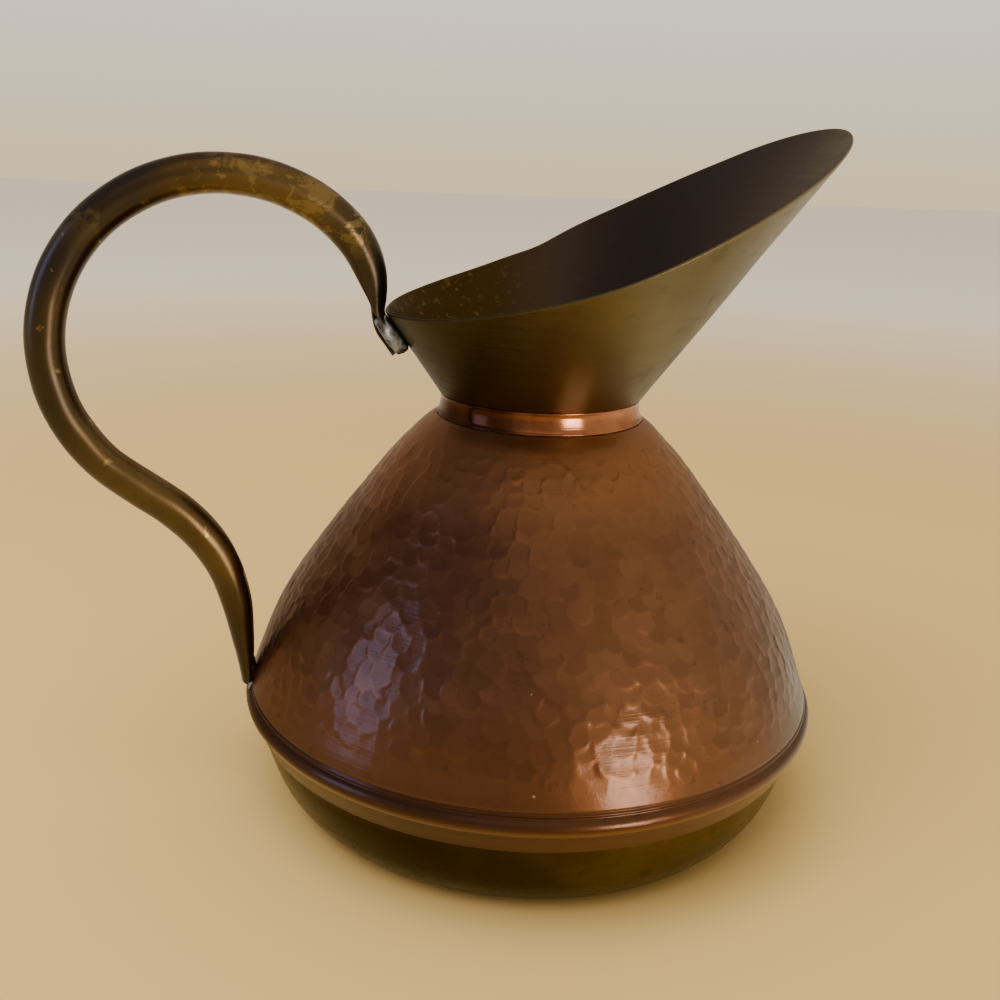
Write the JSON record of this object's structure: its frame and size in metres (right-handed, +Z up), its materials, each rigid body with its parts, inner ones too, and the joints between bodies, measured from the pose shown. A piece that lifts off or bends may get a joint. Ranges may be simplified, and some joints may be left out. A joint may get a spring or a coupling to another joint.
{
  "type": "pitcher",
  "caption": "Small pitcher with a broad hammered copper body, a brass base pan, a short collar, an oblique flared brass mouth and a looped open-backed handle.",
  "frame": {"origin": "centre of the flat underside, on the table", "axes": "+Z up along the axis of the body, +X towards the tip of the pouring lip, handle on -X, +Y to the left of the lip"},
  "size_m": [0.2298, 0.176, 0.202],
  "materials": {
    "hammered_copper": "hand-hammered copper, darkened, satin to polished",
    "collar_copper": "polished copper",
    "funnel_brass": "spun brass, fine satin rings, aged",
    "pan_brass": "smooth brass, darkened",
    "handle_brass": "smooth brass, darkened, worn bright on top",
    "solder": "dull tin solder"
  },
  "bodies": {
    "root": {"base_pan": "pan_brass", "body_shell": "hammered_copper", "neck_collar": "collar_copper", "funnel": "funnel_brass", "handle": "handle_brass", "base_seam_solder": "solder", "neck_seam_solder": "solder", "funnel_seam_solder": "solder", "handle_upper_solder": "solder", "handle_lower_solder": "solder"}
  },
  "joints": []
}
